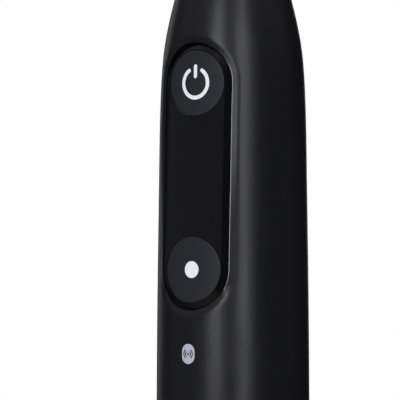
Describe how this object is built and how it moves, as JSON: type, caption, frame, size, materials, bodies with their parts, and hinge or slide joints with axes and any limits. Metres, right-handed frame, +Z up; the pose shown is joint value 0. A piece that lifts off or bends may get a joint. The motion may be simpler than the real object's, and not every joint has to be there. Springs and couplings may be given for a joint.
{
  "type": "electric toothbrush on charger",
  "caption": "Black round-handled electric toothbrush with a key panel, standing on its charger with an oscillating round brush head that pulls off.",
  "frame": {"origin": "on the table, under the middle of the charger's footprint and on the handle's axis", "axes": "+Z up along the handle's axis; -Y is the front, where the keys and the bristles face; +X to the right seen from the front"},
  "size_m": [0.062, 0.072, 0.2666],
  "materials": {
    "matte_black": "fine satin grain, near black",
    "gloss_black": "polished black window",
    "key_black": "matte soft-touch, near black",
    "icon_white": "translucent white inlay",
    "frost_clear": "frosted light guide",
    "charger_black": "fine satin grain, near black",
    "pad_rubber": "matte rubber",
    "seal_rubber": "soft silicone",
    "board_green": "solder mask",
    "chip_black": "moulded epoxy",
    "copper": "enamelled copper winding",
    "ferrite": "sintered ferrite",
    "steel": "bright stamped steel",
    "shaft_steel": "ground stainless steel",
    "magnet": "nickel-plated magnet",
    "cell_wrap": "shrink-wrapped steel can",
    "frame_grey": "glass-filled plastic",
    "head_white": "white moulded plastic",
    "ring_grey": "grey moulded plastic",
    "rod_acetal": "natural acetal",
    "bristle_white": "white nylon",
    "bristle_blue": "blue nylon",
    "bristle_aqua": "aqua nylon"
  },
  "bodies": {
    "charger": {"charger_shell": "charger_black", "charger_base": "charger_black", "foot_pad": "pad_rubber", "charger_screws": "steel", "charger_core": "ferrite", "charger_coil": "copper", "charger_board": "board_green", "charger_parts": "chip_black", "hold_magnet": "magnet", "cord_gland": "pad_rubber"},
    "handle": {"handle_shell": "matte_black", "wireless_badge": "icon_white", "control_lens": "gloss_black", "lens_gasket": "seal_rubber", "stem_seals": "seal_rubber", "light_guide": "frost_clear", "key_board": "board_green", "key_switches": "chip_black", "mode_lamps": "frost_clear", "base_cap": "matte_black", "base_seal": "seal_rubber", "keeper_ring": "steel", "charge_coil": "copper", "coil_bobbin": "rod_acetal", "battery": "cell_wrap", "battery_tabs": "steel", "chassis": "frame_grey", "main_board": "board_green", "board_chips": "chip_black", "motor_frame": "steel", "end_plates": "steel", "leaf_springs": "steel", "stator_cores": "ferrite", "stator_coils": "copper", "light_ring": "frost_clear", "nose_cap": "matte_black", "shaft_bush": "rod_acetal", "shaft_seal": "seal_rubber", "ring_board": "board_green"},
    "power_key": {"power_button": "key_black", "power_icon": "icon_white", "power_plunger": "rod_acetal"},
    "mode_key": {"mode_button": "key_black", "mode_dot": "icon_white", "mode_plunger": "rod_acetal"},
    "drive": {"drive_shaft": "shaft_steel", "yoke": "steel", "yoke_magnets": "magnet"},
    "brush_head": {"head_tube": "head_white", "id_ring": "ring_grey", "head_insert": "ring_grey", "axle_pin": "shaft_steel"},
    "push_rod": {"push_rod": "rod_acetal", "rod_clip": "steel"},
    "bristle_plate": {"bristle_disc": "head_white", "outer_bristles": "bristle_white", "middle_bristles": "bristle_blue", "centre_bristles": "bristle_aqua"}
  },
  "joints": [
    {"name": "handle_lift", "type": "slide", "parent": "charger", "child": "handle", "axis": [0, 0, 1], "range_m": [0, 0.04]},
    {"name": "power_press", "type": "slide", "parent": "handle", "child": "power_key", "axis": [0, 1, 0], "range_m": [0, 0.0004], "stiffness_N_per_m": 600},
    {"name": "mode_press", "type": "slide", "parent": "handle", "child": "mode_key", "axis": [0, 1, 0], "range_m": [0, 0.0004], "stiffness_N_per_m": 600},
    {"name": "drive_travel", "type": "slide", "parent": "handle", "child": "drive", "axis": [0, 0, 1], "range_m": [-0.0005, 0.0005], "stiffness_N_per_m": 3000},
    {"name": "head_pull", "type": "slide", "parent": "handle", "child": "brush_head", "axis": [0, 0, 1], "range_m": [0, 0.03]},
    {"name": "rod_travel", "type": "slide", "parent": "brush_head", "child": "push_rod", "axis": [0, 0, 1], "range_m": [-0.0005, 0.0005]},
    {"name": "disc_turn", "type": "hinge", "parent": "brush_head", "child": "bristle_plate", "pos_m": [0, 0, 0.25965], "axis": [0, -1, 0], "range_deg": [-15, 15]}
  ],
  "couplings": [
    {"joint": "rod_travel", "follows": "drive_travel", "ratio": 1},
    {"joint": "disc_turn", "follows": "drive_travel", "rad_per_m": 500}
  ]
}
